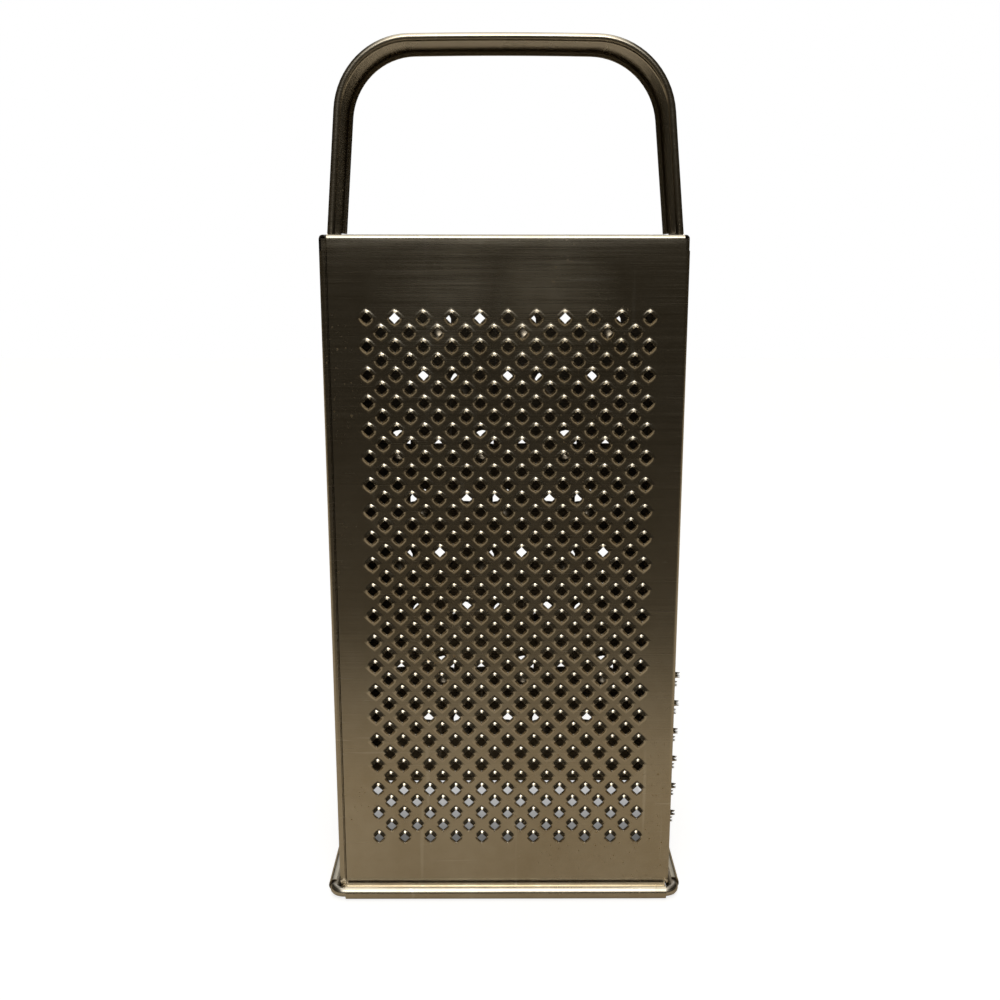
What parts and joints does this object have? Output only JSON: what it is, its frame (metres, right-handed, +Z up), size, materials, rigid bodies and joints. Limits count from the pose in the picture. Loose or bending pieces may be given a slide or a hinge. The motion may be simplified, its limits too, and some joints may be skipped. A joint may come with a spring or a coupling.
{
  "type": "box grater",
  "caption": "Four-sided sheet steel box grater with fine diamond teeth in front, coarse teeth behind, slicing slots at the sides and a riveted strap handle.",
  "frame": {"origin": "middle of the base, on the surface the grater stands on", "axes": "+Z up along the body, +X to the right of the fine side, -Y out of the fine side"},
  "size_m": [0.1094, 0.0844, 0.2522],
  "materials": {
    "brushed_sheet": "thin stainless sheet with fine horizontal brushing and light wear",
    "bright_strap": "smooth rolled stainless strap with bright edges",
    "drawn_wire": "drawn round wire",
    "rivet_steel": "domed bright rivet heads"
  },
  "bodies": {
    "root": {"front_panel": "brushed_sheet", "right_panel": "brushed_sheet", "back_panel": "brushed_sheet", "left_panel": "brushed_sheet", "handle": "bright_strap", "base_wire": "drawn_wire", "rivet_right_front": "rivet_steel", "rivet_right_back": "rivet_steel", "rivet_left_front": "rivet_steel", "rivet_left_back": "rivet_steel"}
  },
  "joints": []
}
